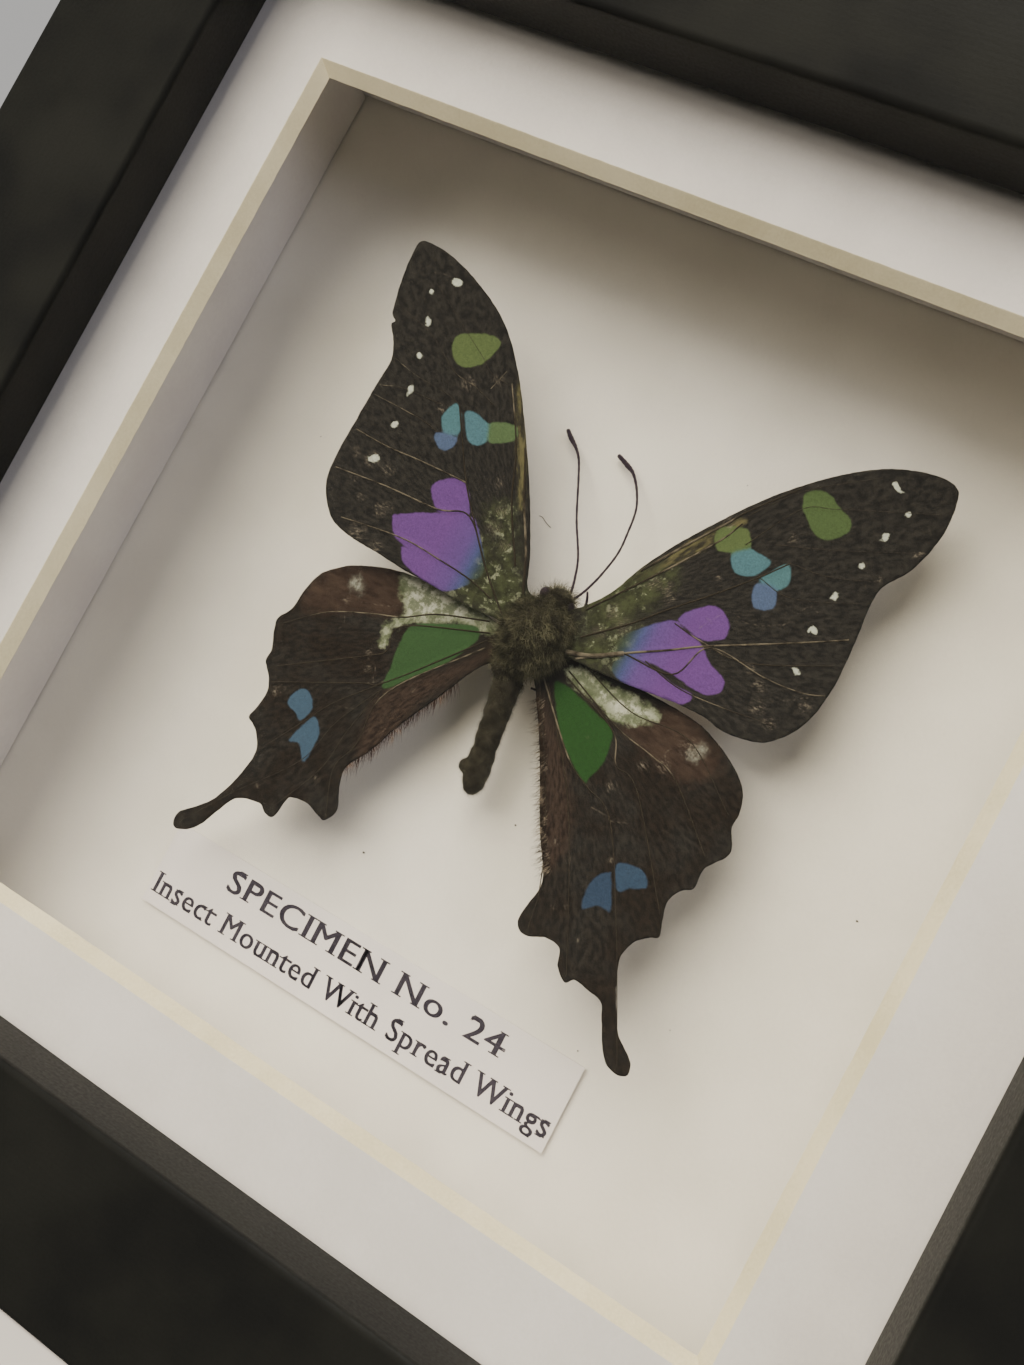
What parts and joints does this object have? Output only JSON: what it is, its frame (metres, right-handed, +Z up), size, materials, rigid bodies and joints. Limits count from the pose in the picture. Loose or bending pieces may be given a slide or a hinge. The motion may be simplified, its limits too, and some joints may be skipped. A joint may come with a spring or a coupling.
{
  "type": "framed butterfly specimen",
  "caption": "Square black box frame holding a pale window mat, a deep white well and a spread swallowtail butterfly above a small label.",
  "frame": {"origin": "centre of the underside of the bottom rail, midway through the frame's depth", "axes": "+Z up, the glass faces -Y, +X to the right as seen from the front"},
  "size_m": [0.15, 0.036, 0.15],
  "materials": {
    "black_lacquer": "satin black lacquer with a faint grain",
    "clear_glass": "clear polished",
    "white_card": "matt, faint tooth",
    "label_paper": "matt print",
    "raw_board": "raw fibreboard",
    "steel": "zinc plated",
    "foam": "matt foam",
    "brown_fur": "dry hairy",
    "brown_wing": "scaled, soft sheen",
    "dark_horn": "satin horn"
  },
  "bodies": {
    "root": {"antenna_left": "dark_horn", "antenna_right": "dark_horn", "backing_board": "raw_board", "butterfly_body": "brown_fur", "foam_riser": "foam", "forewing_left": "brown_wing", "forewing_right": "brown_wing", "glass_pane": "clear_glass", "hanger": "steel", "hanger_nail_left": "steel", "hanger_nail_right": "steel", "hindwing_left": "brown_wing", "hindwing_right": "brown_wing", "label_card": "label_paper", "leg_front_left": "dark_horn", "leg_front_right": "dark_horn", "leg_hind_left": "dark_horn", "leg_hind_right": "dark_horn", "leg_middle_left": "dark_horn", "leg_middle_right": "dark_horn", "mat_board": "white_card", "mount_board": "white_card", "rail_bottom": "black_lacquer", "rail_left": "black_lacquer", "rail_right": "black_lacquer", "rail_top": "black_lacquer", "tab_bottom_1": "steel", "tab_bottom_2": "steel", "tab_left_1": "steel", "tab_left_2": "steel", "tab_right_1": "steel", "tab_right_2": "steel", "tab_top_1": "steel", "tab_top_2": "steel", "well_wall_bottom": "white_card", "well_wall_left": "white_card", "well_wall_right": "white_card", "well_wall_top": "white_card"}
  },
  "joints": []
}
